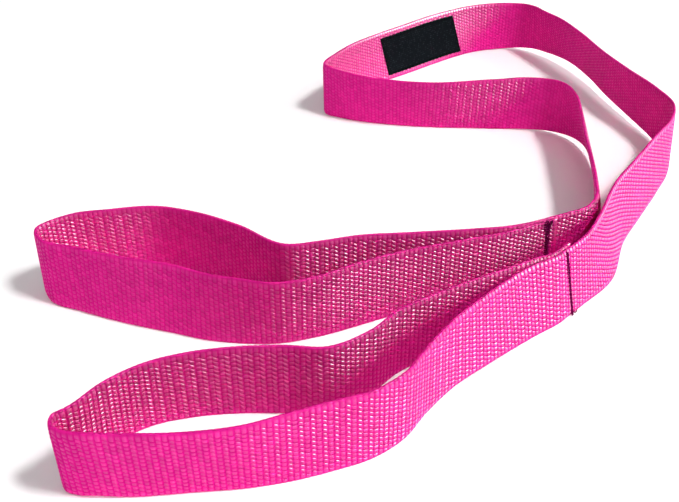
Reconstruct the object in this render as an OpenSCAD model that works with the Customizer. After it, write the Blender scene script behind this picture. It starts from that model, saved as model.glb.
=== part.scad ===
// Stretching strap: one length of heavy woven webbing laid out on its long edge. Each end is turned back
// and sewn down into a flat hand loop, and a woven label is sewn to the middle of the run.
// Millimetres, +Z up, +X right, +Y away. The origin is the middle of the footprint, on the floor.
// Left and right are meant along the webbing, from the cut end of the rear loop to that of the front loop.

/* [Webbing] */
// Width of the webbing, which is the strap's height as it stands on edge
web_w = 25.4; // [20:0.1:40]
// Thickness of the webbing
web_t = 1.4; // [1:0.1:1.8]

/* [Lengths] */
// Rear hand loop laid flat, from its seam to its far end
rear_loop_len = 186; // [150:0.5:260]
// Run of webbing between the two seams
run_len = 633.5; // [560:0.5:760]
// Front hand loop laid flat, from its seam to its far end
front_loop_len = 176.5; // [150:0.5:260]

/* [Seams and folds] */
// Webbing left past each seam, up to its cut end
end_len = 5; // [3:0.5:10]
// Gap between the two plies at a seam
ply_gap = 0.1; // [0.05:0.05:0.2]
// Single webbing between a cut end and the fold line beside it
fold_space = 3; // [2:0.5:6]
// Clearance of a hand loop's end from the rounded end of the run, at a fold line
fold_clear = 0.3; // [0.2:0.05:0.5]

/* [Label] */
// Length of the label along the webbing
label_len = 51.5; // [30:0.5:80]
// Height of the label
label_h = 20; // [12:0.5:22]
// Thickness of the label
label_t = 0.5; // [0.3:0.1:1]
// Distance from the webbing's lower edge to the label
label_margin = 2.4; // [1:0.1:6]
// How far the label's upper edge is sewn back along the webbing from square
label_skew = 4; // [0:0.5:6]
// How far the label's middle lies from the middle of the run, towards the rear loop
label_back = 6.5; // [0:0.5:20]

/* [Stitching] */
// Diameter of the sewing thread
thread_d = 0.4; // [0.2:0.05:0.6]
// Width of the bar of stitches across a seam
bar_w = 1.25; // [1:0.05:3]
// Length of one stitch of a seam, over and back
bar_pitch = 1.8; // [1.2:0.1:3]
// Bare webbing above and below a seam's stitches
bar_margin = 0.4; // [0.2:0.1:2]
// Length of one stitch of the label
stitch_len = 2.5; // [1.5:0.1:4]
// Distance from the label's edge to its line of stitches
stitch_inset = 1; // [0.6:0.1:3]
// Height of a stitch of the label between its two holes
stitch_rise = 0.15; // [0.05:0.05:0.3]

/* [Hidden] */

webbing_pink = [0.91, 0.20, 0.56];
label_black = [0.07, 0.08, 0.09];
thread_maroon = [0.36, 0.03, 0.20];
thread_black = [0.05, 0.05, 0.06];

// Small gap that keeps what is sewn to the webbing from biting into it
seat_gap = 0.08;
// Stations along one span between two route points
SPAN_STEPS = 5;
// Sections that round each end of the run
NOSE_STEPS = 4;
// Sides of a thread
THREAD_SIDES = 6;
// Stations along one stitch of a seam and one of the label
BAR_STEPS = 8;
STITCH_STEPS = 3;
// Length of one facet of the label, and facets up its height, which follow the twist of the webbing
LABEL_STEP = 3;
LABEL_RISE = 5;

// The route, as it lies on the floor. Each point is [x, y, lean, lift]: the middle of the lower edge, how
// far the upper edge leans to the left of travel, and how high the lower edge is raised.
// Each list is about its own seam, at the size whose length is worked out below it.

// Rear loop, from the seam along the near ply, round the left end and back along the far ply
REAR = [
    [-14, -8.5, -0.5, 0], [-30, -13.5, -0.5, 0], [-52, -20.5, -0.5, 0], [-64, -26, -0.5, 0],
    [-78.5, -32, 1, 0], [-90.5, -35, 1, 0], [-101.5, -35, -1, 0], [-113, -33.5, -2.5, 0],
    [-125, -30, -4, 0], [-140, -25.5, -3, 0], [-157, -19, -2, 0], [-169.5, -13, -1, 0],
    [-172.5, -7, -0.5, 0], [-163.5, 2, 0, 0], [-150, 5.5, 0, 0], [-134.5, 7.5, 0, 0],
    [-119.5, 3, 0.5, 0], [-105, -4.5, 0.5, 0], [-87.5, -15.5, 0, 0], [-76.5, -13.5, 0, 0],
    [-65, -10.5, 0, 0], [-45, -8.5, 0, 0], [-25.5, -6.5, 0, 0], [-12, -4.5, 0, 0]
];
// Run, from the rear seam out round the large open loop and back to the front seam
RUN = [
    [-6.5, 21, 0, 0], [9, 28, 0.5, 0], [16, 36, 2, 0], [20, 45.5, 4, 0], [25, 60, 6.5, 0],
    [29, 78.5, 8.5, 0.5], [31.5, 98.5, 8.5, 1.5], [31, 114, 7, 2.5], [28, 122.5, 5, 2],
    [20, 130.5, 0.5, 1], [8.5, 133.5, -1, 0.5], [-7.5, 135, 1.5, 0], [-35, 136.5, 5.5, 0],
    [-50, 138.5, 5.5, 0], [-64, 141.5, 4.5, 0], [-75, 145.5, 2.5, 0], [-83.5, 151.5, 0.5, 0],
    [-83.5, 154, 0, 0], [-79.5, 161.5, 0, 0], [-69, 174.5, 1.5, 0], [-56.5, 185, 3.5, 0],
    [-41.5, 196.5, 5.5, 0], [-27, 208.5, 6.5, 0], [-15, 218, 5.5, 0], [-2, 226, 4, 0], [12, 229, 2, 0.5],
    [24, 228, -2, 1.5], [30, 223.5, -4.5, 2.5], [35, 217.5, -6.5, 3], [42.5, 205, -8, 4],
    [49.5, 185.5, -8, 3.5], [54, 164.5, -7, 2.5], [59, 143.5, -5.5, 2], [64, 124.5, -3, 1],
    [66, 108, -2, 0.5], [62, 94.5, -3, 0], [53, 79, -5, 0], [40, 59, -6, 0], [30, 43.5, -7, 0],
    [17.5, 17, -8.5, 0], [0, 0, -5, 0]
];
// Front loop, from the seam along the near ply, round the left end and back along the far ply
FRONT = [
    [-14, -11, -6, 0], [-31, -24.5, -4, 0.5], [-43.5, -35, -2, 0.5], [-52, -44.5, -1, 0],
    [-60, -55.5, -0.5, 0], [-67.5, -61.5, -0.5, 0], [-80.5, -67, -1, 0], [-90, -70, -0.5, 0],
    [-102, -72.5, 1.5, 0], [-117, -74, 2.5, 0], [-133, -75.5, 1.5, 0], [-143.5, -75.5, 1.5, 0.5],
    [-147.5, -75, 1, 0], [-151.5, -73.5, 0, 0], [-152.5, -70, -1, 0], [-150, -66.5, -2, 0],
    [-143, -57.5, -2, 0], [-132.5, -50, -1.5, 0], [-120.5, -46.5, -0.5, 0], [-106, -45, 0.5, 0],
    [-94, -45, 1, 0], [-81, -45, 0.5, 0], [-69, -37.5, 0, 0], [-60, -28, 0, 0], [-51, -22, 0, 0],
    [-35, -14.5, 1.5, 0], [-20.5, -8, 2.5, 0], [-12.5, -6.5, 5.5, 0]
];

function plan(p) = [p[0], p[1]];
function unit(v) = v / norm(v);
function leftward(d) = [-d[1], d[0]];
// Same point, drawn larger or smaller about the seam
function resized(p, k) = [p[0] * k, p[1] * k, p[2], p[3]];
function moved(p, v) = [p[0] + v[0], p[1] + v[1], p[2], p[3]];

// Smooth curve through the points, with spans in proportion to their own length
function span(P, i) = norm(plan(P[i + 1]) - plan(P[i]));
function rise(P, i) = (P[i + 1] - P[i]) / span(P, i);
function slope(P, i) =
    i == 0 ? rise(P, 0)
    : i == len(P) - 1 ? rise(P, i - 1)
    : (rise(P, i) * span(P, i - 1) + rise(P, i - 1) * span(P, i)) / (span(P, i - 1) + span(P, i));
function between(P, i, t) =
    (2 * t ^ 3 - 3 * t ^ 2 + 1) * P[i] + (3 * t ^ 2 - 2 * t ^ 3) * P[i + 1]
    + span(P, i) * ((t ^ 3 - 2 * t ^ 2 + t) * slope(P, i) + (t ^ 3 - t ^ 2) * slope(P, i + 1));
function settled(p) = [p[0], p[1], p[2], max(0, p[3])];
function curve(P) = [
    for (i = [0:len(P) - 2]) for (k = [0:SPAN_STEPS - 1]) settled(between(P, i, k / SPAN_STEPS)),
    settled(P[len(P) - 1])
];
// Length along the curve from its start to each station
function lengths(S) = [
    for (i = 0, s = 0; i < len(S); s = s + (i < len(S) - 1 ? span(S, i) : 0), i = i + 1) s
];
function total(S) = let (L = lengths(S)) L[len(L) - 1];

// Each list drawn at the length asked for
SEAM_POINT = [[0, 0, 0, 0]];
run_k = run_len / total(curve(RUN));
rear_k = 2 * rear_loop_len / total(curve(concat(SEAM_POINT, REAR, SEAM_POINT)));
front_k = 2 * front_loop_len / total(curve(concat(SEAM_POINT, FRONT, SEAM_POINT)));
run_points = [for (p = RUN) resized(p, run_k)];
rear_seam = run_points[0];
front_seam = run_points[len(RUN) - 1];
// Directions in which the run leaves its two seams
rear_way = unit(plan(run_points[1]) - plan(rear_seam));
front_way = unit(plan(run_points[len(RUN) - 2]) - plan(front_seam));

fold_off = end_len + fold_space;
// Distance from a fold line to the end of the hand loop that turns about it
fold_trim = web_t / 2 + fold_clear;
// The cut end lies on the right-hand side, one ply out
function ply_step(seam) = (web_t + ply_gap) / cos(asin(seam[2] / web_w));
function on_seam(seam, way, s) = moved(seam, way * s);
function on_cut_end(seam, way, side, s) =
    let (p = moved(seam, way * s + leftward(way) * side * ply_step(seam))) [p[0], p[1], -p[2], p[3]];

route = concat(
    [for (s = [end_len, 0, -end_len]) on_cut_end(rear_seam, rear_way, -1, s)],
    [for (p = REAR) moved(resized(p, rear_k), plan(rear_seam))],
    [for (s = [-end_len, 0, fold_off - fold_trim, fold_off]) on_seam(rear_seam, rear_way, s)],
    [for (i = [1:len(RUN) - 2]) run_points[i]],
    [for (s = [fold_off, fold_off - fold_trim, 0, -end_len]) on_seam(front_seam, front_way, s)],
    [for (p = FRONT) moved(resized(p, front_k), plan(front_seam))],
    [for (s = [-end_len, 0, end_len]) on_cut_end(front_seam, front_way, 1, s)]
);
// Places of the seams and folds in the route
rear_seam_at = 3 + len(REAR) + 1;
rear_fold_at = rear_seam_at + 2;
front_fold_at = rear_fold_at + len(RUN) - 1;
front_seam_at = front_fold_at + 2;

laid = curve(route);
LAST = len(laid) - 1;
// Left of travel at each station, as it lies in plan
lefts = [
    for (i = [0:LAST]) leftward(unit(plan(laid[min(i + 1, LAST)]) - plan(laid[max(i - 1, 0)])))
];
// Point on the webbing: at a route value p with n to its left, u up its width and w out to the left
function on_web(p, n, u, w) =
    let (s = p[2] / web_w, c = sqrt(1 - s ^ 2))
    [
        p[0] + n[0] * (u * s + w * c),
        p[1] + n[1] * (u * s + w * c),
        p[3] + web_t / 2 * abs(s) + u * c - w * s
    ];

// Middle of the footprint, which becomes the origin
outline = [
    for (i = [0:LAST]) for (u = [0, web_w]) for (w = [-web_t / 2, web_t / 2])
        on_web(laid[i], lefts[i], u, w)
];
middle = [for (a = [0, 1]) (min([for (q = outline) q[a]]) + max([for (q = outline) q[a]])) / 2];
function centred(q) = [q[0] - middle[0], q[1] - middle[1], q[2]];

// Cross-section of a strip: from u0 to u1 up the width, and from w0 to w1 through the thickness
function section(p, n, u0, u1, w0, w1) = [
    for (c = [[u0, w0], [u0, w1], [u1, w1], [u1, w0]]) centred(on_web(p, n, c[0], c[1]))
];
// Faces that close one end, across from each corner to the one opposite
function end_faces(m) = [
    for (j = [0:m / 2 - 2]) each [[j, j + 1, m - 2 - j], [j, m - 2 - j, m - 1 - j]]
];
// Solid through a row of cross-sections that all have the same number of corners. The two halves of the
// section are split along opposite diagonals, so that the two faces of a twisted strip stay parallel
module skin(rings) {
    m = len(rings[0]);
    last = len(rings) - 1;
    polyhedron(
        points = [for (r = rings) for (q = r) q],
        faces = concat(
            [for (f = end_faces(m)) f],
            [for (f = end_faces(m)) [for (j = [2:-1:0]) last * m + f[j]]],
            [for (i = [0:last - 1]) for (j = [0:m - 1]) let (
                a = i * m + j,
                b = a + m,
                c = (i + 1) * m + (j + 1) % m,
                d = i * m + (j + 1) % m
            ) each (j < m / 2 ? [[a, b, c], [a, c, d]] : [[a, b, d], [b, c, d]])]
        )
    );
}
function web_sections(from, to) = [
    for (i = [from * SPAN_STEPS:to * SPAN_STEPS])
        section(laid[i], lefts[i], 0, web_w, -web_t / 2, web_t / 2)
];
// Round end of the run about a fold line, which reaches past it on the side that way points to
function nose(at, way) = [
    for (k = [1:NOSE_STEPS]) let (
        a = 90 * k / (NOSE_STEPS + 0.5),
        i = at * SPAN_STEPS,
        p = moved(laid[i], way * web_t / 2 * sin(a)),
        h = web_t / 2 * cos(a)
    ) section(p, lefts[i], 0, web_w, -h, h)
];
function reversed(rows) = [for (i = [len(rows) - 1:-1:0]) rows[i]];

// Any length along the run, measured from the rear seam
run_start = rear_seam_at * SPAN_STEPS;
run_stations = [for (i = [run_start:front_seam_at * SPAN_STEPS]) i];
run_lengths = lengths([for (i = run_stations) laid[i]]);
function table(rows, a) = [for (k = [0:len(run_stations) - 1]) [run_lengths[k], rows[run_stations[k]][a]]];
tables = [for (a = [0:3]) table(laid, a)];
left_tables = [for (a = [0, 1]) table(lefts, a)];
function along(s, u, w) =
    centred(on_web([for (t = tables) lookup(s, t)], unit([for (t = left_tables) lookup(s, t)]), u, w));
// The same for what is on the label, which leans back by its skew
function on_label(s, u, w) = along(s - label_skew * ((u - label_margin) / label_h - 0.5), u, w);
function label_section(s, u0, u1, w0, w1) = concat(
    [for (k = [0:LABEL_RISE]) on_label(s, u0 + (u1 - u0) * k / LABEL_RISE, w1)],
    [for (k = [LABEL_RISE:-1:0]) on_label(s, u0 + (u1 - u0) * k / LABEL_RISE, w0)]
);

// Sewing thread along a path. Each ring stands square to the path, with outs[i] as its way up
function thread_ring(P, outs, i) =
    let (
        last = len(P) - 1,
        t = unit(P[min(i + 1, last)] - P[max(i - 1, 0)]),
        a = unit(cross(t, outs[i])),
        b = cross(a, t)
    ) [for (k = [0:THREAD_SIDES - 1]) let (g = 360 * k / THREAD_SIDES)
        P[i] + thread_d / 2 * (a * cos(g) + b * sin(g))];
module thread(P, outs) {
    skin([for (i = [0:len(P) - 1]) thread_ring(P, outs, i)]);
}
// Bar of close stitches up a seam. side is 1 on the left face and -1 on the right one,
// and w is the distance of that face from the middle of the webbing
module seam_thread(at, w, side) {
    i = at * SPAN_STEPS;
    p = laid[i];
    n = lefts[i];
    way = [n[1], -n[0]];
    height = web_w - 2 * bar_margin - thread_d;
    steps = ceil(height / bar_pitch) * BAR_STEPS;
    out = side * (w + seat_gap + thread_d / 2);
    P = [for (k = [0:steps]) centred(on_web(
        moved(p, way * (bar_w - thread_d) / 2 * sin(360 * k / BAR_STEPS)),
        n, bar_margin + thread_d / 2 + height * k / steps, out))];
    face = unit(on_web(p, n, 0, side) - on_web(p, n, 0, 0));
    thread(P, [for (q = P) face]);
}
// Where the label starts along the run
label_start = (run_len - label_len) / 2 - label_back;
// Line of stitches inside the label's border, on the face at distance w from the middle of the webbing
stitch_l = label_len - 2 * stitch_inset;
stitch_h = label_h - 2 * stitch_inset;
function border(d) =
    d < stitch_l ? [d, 0]
    : d < stitch_l + stitch_h ? [stitch_l, d - stitch_l]
    : d < 2 * stitch_l + stitch_h ? [2 * stitch_l + stitch_h - d, stitch_h]
    : [0, 2 * (stitch_l + stitch_h) - d];
module label_thread(w, side) {
    round = 2 * (stitch_l + stitch_h);
    // The thread starts and ends on one long side, so that its two ends stay a stitch apart
    first = stitch_len;
    steps = floor((round - stitch_len) / stitch_len) * STITCH_STEPS;
    s0 = label_start + stitch_inset;
    u0 = label_margin + stitch_inset;
    D = [for (k = [0:steps]) let (d = border((first + stitch_len * k / STITCH_STEPS) % round)) [
        s0 + d[0], u0 + d[1],
        side * (w + seat_gap + thread_d / 2 + stitch_rise * abs(sin(180 * k / STITCH_STEPS)))
    ]];
    thread(
        [for (q = D) on_label(q[0], q[1], q[2])],
        [for (q = D) unit(on_label(q[0], q[1], side) - on_label(q[0], q[1], 0))]
    );
}

module run_webbing() {
    color(webbing_pink) skin(concat(
        reversed(nose(rear_fold_at, -rear_way)),
        web_sections(rear_fold_at, front_fold_at),
        nose(front_fold_at, -front_way)
    ));
}
module rear_loop_webbing() {
    color(webbing_pink) skin(web_sections(0, rear_fold_at - 1));
}
module front_loop_webbing() {
    color(webbing_pink) skin(web_sections(front_fold_at + 1, len(route) - 1));
}
// On the right-hand face, which looks in to the large loop
module label() {
    steps = ceil(label_len / LABEL_STEP);
    near = -web_t / 2 - seat_gap;
    color(label_black) skin([for (k = [0:steps]) label_section(
        label_start + label_len * k / steps, label_margin, label_margin + label_h, near - label_t, near)]);
}
// The right-hand faces of the seams are those of the cut ends
cut_end_face = web_t * 3 / 2 + ply_gap;
module rear_seam_needle_thread() {
    color(thread_maroon) seam_thread(rear_seam_at, cut_end_face, -1);
}
module rear_seam_bobbin_thread() {
    color(thread_maroon) seam_thread(rear_seam_at, web_t / 2, 1);
}
module front_seam_needle_thread() {
    color(thread_maroon) seam_thread(front_seam_at, cut_end_face, -1);
}
module front_seam_bobbin_thread() {
    color(thread_maroon) seam_thread(front_seam_at, web_t / 2, 1);
}
module label_needle_thread() {
    color(thread_black) label_thread(web_t / 2 + seat_gap + label_t, -1);
}
module label_bobbin_thread() {
    color(thread_black) label_thread(web_t / 2, 1);
}

run_webbing();
rear_loop_webbing();
front_loop_webbing();
label();
rear_seam_needle_thread();
rear_seam_bobbin_thread();
front_seam_needle_thread();
front_seam_bobbin_thread();
label_needle_thread();
label_bobbin_thread();
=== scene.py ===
import math

import bpy
import mathutils
import numpy as np
from bpy.props import FloatProperty, FloatVectorProperty, IntProperty, PointerProperty
from bpy.types import Operator, Panel, PropertyGroup
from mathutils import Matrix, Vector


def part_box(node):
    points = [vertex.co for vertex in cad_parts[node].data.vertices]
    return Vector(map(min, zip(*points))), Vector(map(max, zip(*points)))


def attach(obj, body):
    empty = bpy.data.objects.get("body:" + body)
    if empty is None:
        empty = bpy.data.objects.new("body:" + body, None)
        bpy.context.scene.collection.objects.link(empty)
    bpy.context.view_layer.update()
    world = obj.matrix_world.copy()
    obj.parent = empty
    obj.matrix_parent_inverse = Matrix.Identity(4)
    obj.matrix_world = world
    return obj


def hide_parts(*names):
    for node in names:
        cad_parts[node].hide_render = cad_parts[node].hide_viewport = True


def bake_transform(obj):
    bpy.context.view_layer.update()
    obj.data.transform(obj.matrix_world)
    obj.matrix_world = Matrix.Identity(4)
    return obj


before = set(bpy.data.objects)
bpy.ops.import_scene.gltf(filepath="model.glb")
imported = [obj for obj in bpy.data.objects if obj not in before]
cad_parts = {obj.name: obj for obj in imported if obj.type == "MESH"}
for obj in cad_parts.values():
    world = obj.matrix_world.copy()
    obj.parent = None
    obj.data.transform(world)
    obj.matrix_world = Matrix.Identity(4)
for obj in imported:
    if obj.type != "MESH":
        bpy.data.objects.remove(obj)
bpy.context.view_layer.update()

bl_info = {
    "name": "Stretching Strap",
    "version": (1, 0, 0),
    "blender": (4, 5, 0),
    "location": "3D View > Sidebar > Strap",
    "description": "Woven stretching strap with two sewn hand loops and a bare label",
    "category": "Mesh",
}

# The route of the webbing on the floor, from the cut end of the rear loop to that of the front loop.
# Each point is (x, y, lean, lift) in metres: the middle of the lower edge, how far the upper edge leans
# to the left of travel, and how high the lower edge is raised. Each list is about its own seam.
REAR = [
    (-0.014, -0.0085, -0.0005, 0), (-0.03, -0.0135, -0.0005, 0), (-0.052, -0.0205, -0.0005, 0),
    (-0.064, -0.026, -0.0005, 0), (-0.0785, -0.032, 0.001, 0), (-0.0905, -0.035, 0.001, 0),
    (-0.1015, -0.035, -0.001, 0), (-0.113, -0.0335, -0.0025, 0), (-0.125, -0.03, -0.004, 0),
    (-0.14, -0.0255, -0.003, 0), (-0.157, -0.019, -0.002, 0), (-0.1695, -0.013, -0.001, 0),
    (-0.1725, -0.007, -0.0005, 0), (-0.1635, 0.002, 0, 0), (-0.15, 0.0055, 0, 0),
    (-0.1345, 0.0075, 0, 0), (-0.1195, 0.003, 0.0005, 0), (-0.105, -0.0045, 0.0005, 0),
    (-0.0875, -0.0155, 0, 0), (-0.0765, -0.0135, 0, 0), (-0.065, -0.0105, 0, 0),
    (-0.045, -0.0085, 0, 0), (-0.0255, -0.0065, 0, 0), (-0.012, -0.0045, 0, 0),
]
RUN = [
    (-0.0065, 0.021, 0, 0), (0.009, 0.028, 0.0005, 0), (0.016, 0.036, 0.002, 0),
    (0.02, 0.0455, 0.004, 0), (0.025, 0.06, 0.0065, 0), (0.029, 0.0785, 0.0085, 0.0005),
    (0.0315, 0.0985, 0.0085, 0.0015), (0.031, 0.114, 0.007, 0.0025), (0.028, 0.1225, 0.005, 0.002),
    (0.02, 0.1305, 0.0005, 0.001), (0.0085, 0.1335, -0.001, 0.0005), (-0.0075, 0.135, 0.0015, 0),
    (-0.035, 0.1365, 0.0055, 0), (-0.05, 0.1385, 0.0055, 0), (-0.064, 0.1415, 0.0045, 0),
    (-0.075, 0.1455, 0.0025, 0), (-0.0835, 0.1515, 0.0005, 0), (-0.0835, 0.154, 0, 0),
    (-0.0795, 0.1615, 0, 0), (-0.069, 0.1745, 0.0015, 0), (-0.0565, 0.185, 0.0035, 0),
    (-0.0415, 0.1965, 0.0055, 0), (-0.027, 0.2085, 0.0065, 0), (-0.015, 0.218, 0.0055, 0),
    (-0.002, 0.226, 0.004, 0), (0.012, 0.229, 0.002, 0.0005), (0.024, 0.228, -0.002, 0.0015),
    (0.03, 0.2235, -0.0045, 0.0025), (0.035, 0.2175, -0.0065, 0.003), (0.0425, 0.205, -0.008, 0.004),
    (0.0495, 0.1855, -0.008, 0.0035), (0.054, 0.1645, -0.007, 0.0025), (0.059, 0.1435, -0.0055, 0.002),
    (0.064, 0.1245, -0.003, 0.001), (0.066, 0.108, -0.002, 0.0005), (0.062, 0.0945, -0.003, 0),
    (0.053, 0.079, -0.005, 0), (0.04, 0.059, -0.006, 0), (0.03, 0.0435, -0.007, 0),
    (0.0175, 0.017, -0.0085, 0), (0, 0, -0.005, 0),
]
FRONT = [
    (-0.014, -0.011, -0.006, 0), (-0.031, -0.0245, -0.004, 0.0005), (-0.0435, -0.035, -0.002, 0.0005),
    (-0.052, -0.0445, -0.001, 0), (-0.06, -0.0555, -0.0005, 0), (-0.0675, -0.0615, -0.0005, 0),
    (-0.0805, -0.067, -0.001, 0), (-0.09, -0.07, -0.0005, 0), (-0.102, -0.0725, 0.0015, 0),
    (-0.117, -0.074, 0.0025, 0), (-0.133, -0.0755, 0.0015, 0), (-0.1435, -0.0755, 0.0015, 0.0005),
    (-0.1475, -0.075, 0.001, 0), (-0.1515, -0.0735, 0, 0), (-0.1525, -0.07, -0.001, 0),
    (-0.15, -0.0665, -0.002, 0), (-0.143, -0.0575, -0.002, 0), (-0.1325, -0.05, -0.0015, 0),
    (-0.1205, -0.0465, -0.0005, 0), (-0.106, -0.045, 0.0005, 0), (-0.094, -0.045, 0.001, 0),
    (-0.081, -0.045, 0.0005, 0), (-0.069, -0.0375, 0, 0), (-0.06, -0.028, 0, 0), (-0.051, -0.022, 0, 0),
    (-0.035, -0.0145, 0.0015, 0), (-0.0205, -0.008, 0.0025, 0), (-0.0125, -0.0065, 0.0055, 0),
]

# Sizes that the frame also has. The webbing stands upright at the rear seam, so its box gives the width
WEB_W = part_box("rear_loop_webbing")[1][2]
WEB_T = 0.0014
# Lengths of both hand loops laid flat, and of the run between their seams
REAR_LOOP = 0.186
RUN_LEN = 0.6335
FRONT_LOOP = 0.1765
# Webbing between a cut end and its seam, gap between two sewn plies, and distance of a fold from its seam
END_LEN = 0.005
PLY_GAP = 0.0001
FOLD_OFF = 0.008
# Stations along one span of the route
SPAN_STEPS = 20


# ---------------------------------------------------------------- the route


def resized(points, k):
    """The points with their places on the floor drawn k times as large about the seam."""
    return np.array(points, float) * (k, k, 1, 1)


def unit(v):
    return v / np.linalg.norm(v)


def curve(points):
    """Stations on a smooth curve through the points, with slopes weighted by the spans' lengths."""
    p = np.asarray(points, float)
    span = np.linalg.norm(np.diff(p[:, :2], axis=0), axis=1)[:, None]
    rise = np.diff(p, axis=0) / span
    slope = np.vstack([rise[:1], np.zeros((len(p) - 2, 4)), rise[-1:]])
    slope[1:-1] = (rise[1:] * span[:-1] + rise[:-1] * span[1:]) / (span[:-1] + span[1:])
    t = (np.arange(SPAN_STEPS) / SPAN_STEPS)[None, :, None]
    a, b = p[:-1, None], p[1:, None]
    inner = (
        (2 * t**3 - 3 * t**2 + 1) * a
        + (3 * t**2 - 2 * t**3) * b
        + span[:, None] * ((t**3 - 2 * t**2 + t) * slope[:-1, None] + (t**3 - t**2) * slope[1:, None])
    )
    stations = np.vstack([inner.reshape(-1, 4), p[-1:]])
    stations[:, 3] = np.maximum(stations[:, 3], 0)
    return stations


def length_of(points):
    s = curve(points)
    return np.linalg.norm(np.diff(s[:, :2], axis=0), axis=1).sum()


class Route:
    """The webbing's path: places on it by length from the rear cut end, height and distance out."""

    def __init__(self):
        seam = [(0, 0, 0, 0)]
        run = resized(RUN, RUN_LEN / length_of(RUN))
        rear = resized(REAR, 2 * REAR_LOOP / length_of(seam + REAR + seam))
        front = resized(FRONT, 2 * FRONT_LOOP / length_of(seam + FRONT + seam))
        s1, s2 = run[0], run[-1]
        way1 = unit(run[1, :2] - s1[:2])
        way2 = unit(run[-2, :2] - s2[:2])

        def on_seam(seam_point, way, s):
            return seam_point + (*(way * s), 0, 0)

        def on_cut_end(seam_point, way, side, s):
            # The cut end lies one ply out on the right-hand side, and is travelled the other way
            ply = (WEB_T + PLY_GAP) / math.sqrt(1 - (seam_point[2] / WEB_W) ** 2)
            p = on_seam(seam_point, way, s) + (-way[1] * side * ply, way[0] * side * ply, 0, 0)
            return p * (1, 1, -1, 1)

        rear[:, :2] += s1[:2]
        front[:, :2] += s2[:2]
        points = [
            *(on_cut_end(s1, way1, -1, s) for s in (END_LEN, 0, -END_LEN)),
            *rear,
            *(on_seam(s1, way1, s) for s in (-END_LEN, 0, FOLD_OFF)),
            *run[1:-1],
            *(on_seam(s2, way2, s) for s in (FOLD_OFF, 0, -END_LEN)),
            *front,
            *(on_cut_end(s2, way2, 1, s) for s in (-END_LEN, 0, END_LEN)),
        ]
        self.stations = curve(points)
        step = np.linalg.norm(np.diff(self.stations[:, :2], axis=0), axis=1)
        self.lengths = np.concatenate([[0], np.cumsum(step)])
        self.total = self.lengths[-1]
        ahead = np.gradient(self.stations[:, :2], axis=0)
        ahead /= np.linalg.norm(ahead, axis=1)[:, None]
        self.left = np.stack([-ahead[:, 1], ahead[:, 0]], 1)
        # Three points make each cut end and each seam, and the seam itself is at the second of them
        rear_seam_at = 3 + len(rear) + 1
        front_seam_at = rear_seam_at + len(run) + 1
        self.rear_seam = self.lengths[rear_seam_at * SPAN_STEPS]
        self.rear_fold = self.lengths[(rear_seam_at + 1) * SPAN_STEPS]
        self.front_fold = self.lengths[(front_seam_at - 1) * SPAN_STEPS]
        self.front_seam = self.lengths[front_seam_at * SPAN_STEPS]
        self.middle = np.zeros(3)
        corners = [self.place(self.lengths, u, w) for u in (0, WEB_W) for w in (-WEB_T / 2, WEB_T / 2)]
        corners = np.concatenate(corners)[:, :2]
        self.middle[:2] = (corners.min(0) + corners.max(0)) / 2

    def place(self, s, u, w):
        """Points at lengths s, u up the webbing's width and w out to the left of its middle."""
        s, u, w = np.broadcast_arrays(*(np.asarray(a, float) for a in (s, u, w)))
        x, y, lean, lift = (np.interp(s, self.lengths, column) for column in self.stations.T)
        nx, ny = (np.interp(s, self.lengths, column) for column in self.left.T)
        size = np.hypot(nx, ny)
        nx, ny = nx / size, ny / size
        sine = lean / WEB_W
        cosine = np.sqrt(1 - sine**2)
        out = u * sine + w * cosine
        z = lift + WEB_T / 2 * np.abs(sine) + u * cosine - w * sine
        return np.stack([x + nx * out, y + ny * out, z], -1) - self.middle


ROUTE = Route()


# ---------------------------------------------------------------- settings


def count_prop(name, text, value, least):
    return IntProperty(name=name, description=text, default=value, min=least)


def size_prop(name, text, value):
    return FloatProperty(name=name, description=text, default=value, min=0, precision=5, unit="LENGTH")


def angle_prop(name, text, degrees):
    return FloatProperty(name=name, description=text, default=math.radians(degrees), unit="ROTATION")


def colour_prop(name, text, value):
    return FloatVectorProperty(name=name, description=text, default=value, size=3, subtype="COLOR")


def share_prop(name, text, value):
    return FloatProperty(name=name, description=text, default=value, min=0, max=1, subtype="FACTOR")


def light_prop(name, text, value, unit="NONE"):
    return FloatProperty(name=name, description=text, default=value, min=0, unit=unit)


class StrapWebbingSettings(PropertyGroup):
    rows: count_prop("Rows", "Rows of yarn across the webbing", 16, 6)
    pairs: count_prop("Pairs", "Pairs of picks along the whole webbing", 420, 60)
    groove: size_prop("Groove depth", "Depth of the grooves between the yarns", 0.00018)
    slant: share_prop("Slant", "How far a yarn climbs over its own pick, as a share of a row", 0.26)
    trench: size_prop("Seam trench", "Depth to which a seam's stitches pull the webbing in", 0.00018)
    melt: size_prop("Melted end", "Length of webbing melted together at a cut end", 0.0018)
    overlap: size_prop("Past the fold", "Run webbing that each loop's piece holds past its fold", 0.042)
    fold_soft: size_prop("Fold softness", "Half the length over which the webbing bends at a fold", 0.0025)
    # The grooves' colour is painted shade, and the tops' colour adds a painted highlight to the yarn's
    top_colour_and_highlight: colour_prop("Yarn tops", "Colour of the yarn where it stands out", (0.705, 0.014, 0.266))
    body: colour_prop("Yarn", "Colour of the yarn", (0.695, 0.012, 0.246))
    gap: colour_prop("Grooves", "Colour deep between the yarns", (0.635, 0.0075, 0.203))
    melt_tint: colour_prop("Melted yarn", "Colour of the melted cut ends", (0.86, 0.004, 0.27))


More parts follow.
